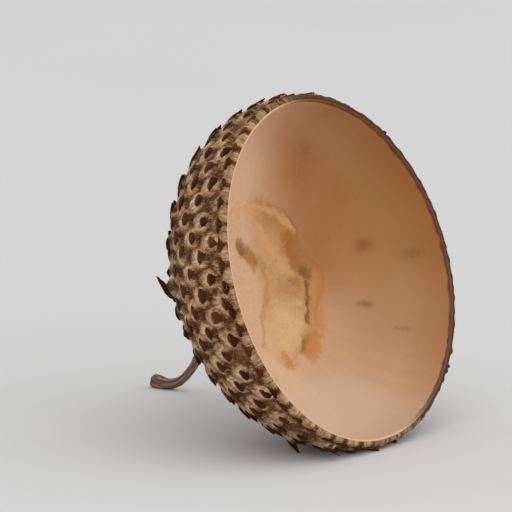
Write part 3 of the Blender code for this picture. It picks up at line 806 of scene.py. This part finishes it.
def scar_marks(x, y):
    """The scar's marks, each from 0 to 1, over the bowl's own x and y, in metres from its middle. The strokes
    are drawn over places that are shifted a little by random hills, which makes their edges ragged."""
    x, y = x / MM, y / MM
    flat = stacked(x, y)
    jitter = [ripple(flat, 0.9, seed) * 0.050 + ripple(flat, 0.35, seed + 1) * 0.030 for seed in (41, 43)]
    marks = {mark: np.zeros(x.shape) for mark in ("pale", "cream", "ochre", "orange", "torn_and_shadow")}
    for mark, strength, half_width, path in SCAR_STROKES:
        drawn = strength * nearness(x + jitter[0], y + jitter[1], path, half_width)
        marks[mark] = np.maximum(marks[mark], drawn)
    out = np.hypot(x, y) - scar_edge(np.arctan2(y, x)) / MM
    dry = 0.30 + 0.70 * smooth_step(-0.9, 0.6, y + 0.15 * x)
    within = smooth_step(0.40, -0.40, out + jitter[0] * 2) * smooth_step(3.5, 2.6, y - 0.15 * x)
    return marks | {"scar": dry * within}


def scar_relief(x, y, marks):
    """Height of the scar over the smooth bowl: a low plateau in a faint groove, its skin raised, its hollow
    sunk."""
    out = np.hypot(x, y) - scar_edge(np.arctan2(y, x))
    flat = stacked(x, y)
    crumbs = ripple(flat, 0.8 * MM, 51) * 0.018 + ripple(flat, 0.3 * MM, 52) * 0.012
    groove = SCAR_GROOVE * bump_at(out, 0.0, SCAR_GROOVE_WIDTH)
    plateau = SCAR_RISE * smooth_step(0.6 * MM, -0.6 * MM, out) - groove
    fine = marks["scar"] * crumbs + sum(marks[mark] * height for mark, height in SKIN_HEIGHTS.items())
    return plateau + fine * MM


def wall_tints(x, y, radius):
    """The tints of the bowl's wall, each from 0 to 1. The main tint, from peach to brown, is partly the
    wall's own colour
    and partly painted shade: it gathers on the far wall and less on the low one, and leaves the rim pale and
    the near side pale as a painted pool of light. The far wall is more orange, the low one paler and greyer."""
    deep = 0.85 - 0.60 * smooth_step(-0.5 * MM, 5.0 * MM, x)
    low_side = 0.22 * smooth_step(1.5 * MM, 4.5 * MM, x) * smooth_step(-0.8 * MM, 1.5 * MM, y)
    pale_rim = 0.20 * smooth_step(6.8 * MM, 8.3 * MM, radius)
    # Painted light: the near side is left pale, as if lit.
    painted_light_side = 0.35 * bump_at(np.hypot(x + 6.2 * MM, y - 0.3 * MM), 0.0, 1.8 * MM)
    tint_and_painted_shade = 0.14 + deep * smooth_step(-0.5 * MM, 5.0 * MM, y - 0.15 * x) + low_side - pale_rim - painted_light_side
    return {
        "tint_and_painted_shade": np.clip(tint_and_painted_shade, 0, 1),
        "far_wall_orange": smooth_step(4.2 * MM, 7.4 * MM, y),
        "low_wall_pale": smooth_step(4.0 * MM, 7.0 * MM, x) * smooth_step(5.5 * MM, 2.5 * MM, y),
    }


def smudges(run, phi):
    """Faint oval marks on the wall, each a bell over the length up the wall and over the way round."""
    total = sum(strength * bump_at(np.hypot((run - bowl_run_at(out * MM)) / (long * MM),
                                            turned(phi, math.radians(angle)) * out / wide), 0.0, 1.0)
                for out, angle, long, wide, strength in SMUDGES)
    return np.clip(total, 0, 1)


def bowl_lining():
    """Rings from the bowl's middle up its wall and over the lip's inner half, then back inside the wall. They
    stand closer over the scar than above it. The rim's dark brown edge, painted shade on the side away from
    the light, wavers a little."""
    scar_run = bowl_run_at(SCAR_FINE_RADIUS)
    wanted = np.concatenate([np.linspace(0.04 * MM, scar_run, SCAR_ROWS, endpoint=False),
                             np.linspace(scar_run, BOWL_RUN[-1], WALL_ROWS)])
    radius, height = (part[:, None] for part in bowl_profile(np.interp(wanted, BOWL_RUN, BOWL_FINE)))
    phi = full_turn(BOWL_COLUMNS)[None, :]
    x, y = radius * np.cos(phi), radius * np.sin(phi)
    run = wanted[:, None] * np.ones_like(x)
    marks = scar_marks(x, y)
    streaks = carried_round(8, phi, run / (4.0 * MM))
    grooves = ripple(streaks, 1.6, 53) * 0.005 * MM * smooth_step(3.5 * MM, 6 * MM, radius)
    raised = scar_relief(x, y, marks) + grooves
    inside = stacked(x * oval(phi) + LEAN * height, y * oval(phi), height + raised)
    over = lip_rings(INNER_LIP, phi)
    back = wall_middle(HIDDEN_RINGS, phi)
    back[..., 2] += 0.02 * MM
    rings = in_row_frame(np.concatenate([inside, over, back]))[None]

    edge = np.concatenate([height + 0 * phi, INNER_LIP[:, 1:] + 0 * phi])
    waver = ripple(carried_round(1, phi), 0.10, 54) * 0.022 * MM
    values = marks | wall_tints(x, y, radius) | {
        "smudge": smudges(run, phi),
        # Painted shade: a dark brown edge along the rim over the half turn away from the light.
        "rim": rim_wear_and_painted_shade(phi) * smooth_step(-0.16 * MM, 0.04 * MM, edge + waver),
        "grain": carried_round(16, phi, run / (3.5 * MM)),
    }
    values = {name: carried_on(value, rings.shape[1]) for name, value in values.items()}
    points, quads, triangles, spread = closed_forms(rings, values)
    return points, quads[:, ::-1], triangles[:, ::-1], spread


# The stalk

STALK_STEPS = 380
STALK_AROUND = 80
# Ridges along the stalk: (share of its radius, how many, phase, sway, the sway's turn per metre and phase).
RIDGES = (
    (0.040, 5, 0, 6, 700, 0), (0.030, 8, 2, 4, 900, 1), (0.022, 13, 0, 5, 1200, 2), (0.014, 21, 1, 0, 0, 0))
RIDGE_TWIST = 160  # radians per metre
ALL_RIDGES = 0.09  # where the ridges count as highest, as a share of the radius
# The broken end, as (share of the last ring, how far it is sunk).
BROKEN_END = ((0.88, -0.02 * MM), (0.70, 0.03 * MM), (0.45, 0.10 * MM), (0.20, 0.12 * MM))


def smooth_route(points, steps):
    """A Catmull-Rom curve through the points, at equal steps of its length."""
    ends = np.concatenate([[points[0] * 2 - points[1]], points, [points[-1] * 2 - points[-2]]])
    share = np.linspace(0, 1, 60, endpoint=False)[:, None]
    fine = []
    for before, start, end, after in zip(ends, ends[1:], ends[2:], ends[3:]):
        fine.append(0.5 * (2 * start + (end - before) * share
                           + (2 * before - 5 * start + 4 * end - after) * share**2
                           + (3 * start - before - 3 * end + after) * share**3))
    fine = np.concatenate([*fine, points[-1:]])
    length = np.concatenate([[0.0], np.cumsum(np.linalg.norm(np.diff(fine, axis=0), axis=1))])
    wanted = np.linspace(0, length[-1], steps)
    return np.column_stack([np.interp(wanted, length, fine[:, axis]) for axis in range(3)]), wanted


def evened(values, kernel):
    """Values with each replaced by its neighbours' weighted mean. The ends go on at their own value."""
    return np.convolve(np.pad(values, len(kernel) // 2, mode="edge"), kernel, "valid")


def stalk_frames(steps):
    """(places, forward, side, up, lengths) along the stalk. Side stays level, so the frames don't spin."""
    places, lengths = smooth_route(STALK_ROUTE + MOUTH_CENTRE, steps)
    forward = np.gradient(places, axis=0)
    forward = unit(np.column_stack([evened(forward[:, axis], np.ones(9) / 9) for axis in range(3)]))
    side = unit(np.cross(forward, (0.0, 0.0, 1.0)))
    return places, forward, side, np.cross(side, forward), lengths


def stalk_forms():
    """The stalk as rings along its route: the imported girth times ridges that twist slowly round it, with
    random lumps. It ends in a broken, hollowed face."""
    places, forward, side, up, lengths = stalk_frames(STALK_STEPS)
    share = lengths / lengths[-1]
    girth = np.interp(share, STALK_GIRTH[:, 0], STALK_GIRTH[:, 1]) * MM
    girth = evened(girth, np.hanning(15) / np.hanning(15).sum())
    theta = full_turn(STALK_AROUND)
    along = lengths[:, None]
    twist = theta[None, :] + along * RIDGE_TWIST
    ridges = sum(size * np.cos(count * twist + phase + sway * np.sin(along * turn + start))
                 for size, count, phase, sway, turn, start in RIDGES)
    lumps = ripple(carried_round(2, theta, along / (0.5 * MM)), 2.6, 61) * 0.030
    radius = girth[:, None] * (1 - 0.05 + ridges + lumps)
    ring = side[:, None] * np.cos(theta)[:, None] + up[:, None] * np.sin(theta)[:, None]
    rings = places[:, None] + ring * radius[..., None]
    keep = lengths < lengths[-1] - 0.10 * MM
    rings = rings[keep]
    last, centre = rings[-1], rings[-1].mean(axis=0)
    broken = [centre + (last - centre) * size - forward[-1] * depth for size, depth in BROKEN_END]
    rings = np.concatenate([rings, broken])[None]

    face = (len(broken), STALK_AROUND)
    end = smooth_step(0.955, 0.995, share)[keep, None] * 0.6 * np.ones(STALK_AROUND)
    grain = carried_round(5, twist, along / (0.55 * MM))[keep]
    values = {
        "ridge": np.concatenate([ridges[keep] / ALL_RIDGES * 0.5 + 0.5, np.full(face, 0.5)])[None],
        "end": np.concatenate([end, np.ones(face)])[None],
        "grain": np.concatenate([grain, np.full((*face, 3), 9.0)])[None],
    }
    return closed_forms(rings, values)


# Across the collar's ring, from the socket over its crest to the stalk: (radius, height over the boss).
COLLAR_PROFILE = np.array([
    (0.20, -0.60), (0.90, -0.55), (1.45, -0.42), (1.52, -0.26), (1.46, -0.10), (1.38, 0.04),
    (1.30, 0.15), (1.21, 0.20), (1.12, 0.17), (1.04, 0.08), (0.98, -0.05), (0.92, -0.25),
    (0.60, -0.35), (0.20, -0.40)]) * MM
COLLAR_ROWS = 46
COLLAR_COLUMNS = 160


def collar_forms():
    """A ragged corky ring on the boss round the stalk's foot: a profile of radius and height carried round
    the socket's axis, its crest broken by random hills."""
    out = unit(STALK_ROUTE[1] - STALK_ROUTE[0])
    level = unit(np.cross(out, (0.0, 0.0, 1.0)))
    above = np.cross(level, out)
    base_z = -SKIN_DEPTH - BOSS_HEIGHT
    top = in_row_frame(np.array([LEAN * base_z, 0.0, base_z]))
    start = STALK_ROUTE[0] + MOUTH_CENTRE
    centre = start + out * np.dot(top - start, out)
    share = np.linspace(0, 1, len(COLLAR_PROFILE))
    wanted = np.linspace(0, 1, COLLAR_ROWS)
    radius, height = (np.interp(wanted, share, part)[:, None] for part in COLLAR_PROFILE.T)
    theta = full_turn(COLLAR_COLUMNS)[None, :]
    shown = smooth_step(0.12, 0.35, wanted)[:, None] * smooth_step(0.95, 0.75, wanted)[:, None]
    spots = carried_round(1.3, theta, radius / MM)
    height = height + shown * (ripple(spots, 0.55, 71) * 0.060 + ripple(spots, 0.22, 72) * 0.03) * MM
    radius = radius + shown * (ripple(spots, 0.8, 73) * 0.05 + ripple(spots, 0.25, 74) * 0.02) * MM
    ring = level * np.cos(theta)[..., None] + above * np.sin(theta)[..., None]
    rings = (centre + ring * radius[..., None] + out * height[..., None])[None]
    crest = np.clip(height / (0.2 * MM), -0.3, 1) * 0.6 + 0.3
    return closed_forms(rings, {"crest": crest[None]})


# The stage

AZIMUTH, ELEVATION = math.radians(37.2), math.radians(12)
DISTANCE = 0.45
FRAME_WIDTH = 25.5 * MM  # what the picture spans at the cap
AIM_RIGHT = 0.5 * MM  # the camera looks this far right of the cap's middle
FLOOR_HALF = 4.0
FLOOR_HEIGHT = -2e-5
LAMP_DISTANCE = 0.6
# (name, its way from the cap as shares of right, up and back to the camera, watts, width).
LAMPS = (("key", (0.6, 0.9, 0.9), 1.42, 0.9), ("fill", (1.0, 0.2, 0.7), 0.6, 0.9))


def set_stage():
    """A pale floor, an even pale surround, a soft light high on the right, a weaker one low on the right, and
    the camera at the photograph's viewing angle."""
    mesh = bpy.data.meshes.new("studio_floor")
    corners = [(x * FLOOR_HALF, y * FLOOR_HALF, FLOOR_HEIGHT)
               for x, y in ((-1, -1), (1, -1), (1, 1), (-1, 1))]
    mesh.from_pydata(corners, [], [(0, 1, 2, 3)])
    made, tree, shader = new_material("matt_card", Roughness=0.9, Specular_IOR_Level=0.1)
    place = add(tree, "TexCoord", {}, "Object")
    mottle = add(tree, "TexNoise", {"Vector": place, "Scale": 60.0})
    card = add(tree, "Mix", {0: mottle, 6: tone("#D6D6D6"), 7: tone("#D9D9D9")}, 2, data_type="RGBA")
    wire(tree, shader, Base_Color=card)
    mesh.materials.append(made)
    floor = bpy.data.objects.new("studio_floor", mesh)
    bpy.context.scene.collection.objects.link(floor)

    level = math.cos(ELEVATION)
    back = Vector((math.sin(AZIMUTH) * level, -math.cos(AZIMUTH) * level, math.sin(ELEVATION)))
    right = Vector((math.cos(AZIMUTH), math.sin(AZIMUTH), 0.0))
    up = back.cross(right)
    low, high = (Vector(corner) for corner in CAD_BOX)
    middle = (low + high) / 2
    camera = bpy.data.objects.new("camera", bpy.data.cameras.new("camera"))
    camera.data.lens = camera.data.sensor_width * DISTANCE / FRAME_WIDTH
    camera.data.clip_end = 10.0
    camera.location = middle + right * AIM_RIGHT + back * DISTANCE
    camera.rotation_mode = "QUATERNION"
    camera.rotation_quaternion = back.to_track_quat("Z", "Y")
    bpy.context.scene.collection.objects.link(camera)
    bpy.context.scene.camera = camera

    for name, (rightward, upward, backward), power, size in LAMPS:
        lamp = bpy.data.lights.new(name, "AREA")
        lamp.energy, lamp.size = power, size
        light = bpy.data.objects.new(name, lamp)
        way = up * upward + right * rightward + back * backward
        light.location = middle + way.normalized() * LAMP_DISTANCE
        light.rotation_mode = "QUATERNION"
        light.rotation_quaternion = (middle - light.location).to_track_quat("-Z", "Y")
        bpy.context.scene.collection.objects.link(light)

    world = bpy.data.worlds.new("surround")
    world.use_nodes = True
    background = world.node_tree.nodes["Background"]
    background.inputs["Color"].default_value = tone("#D0D0D0")
    background.inputs["Strength"].default_value = 1.24
    bpy.context.scene.world = world
    bpy.context.scene.view_settings.view_transform = "Standard"


def main():
    piece("cup_wool", woolly_outside(), fibrous_wool(), ["cup"])
    piece("scale_tips", tip_forms(), dry_scale_tip())
    piece("wool_hairs", hair_forms(), wool_fibre())
    piece("bowl_lining", bowl_lining(), satin_bowl())
    piece("stalk_stem", stalk_forms(), stalk_bark(), ["stalk"])
    piece("stalk_collar", collar_forms(), corky_collar())
    set_stage()


main()
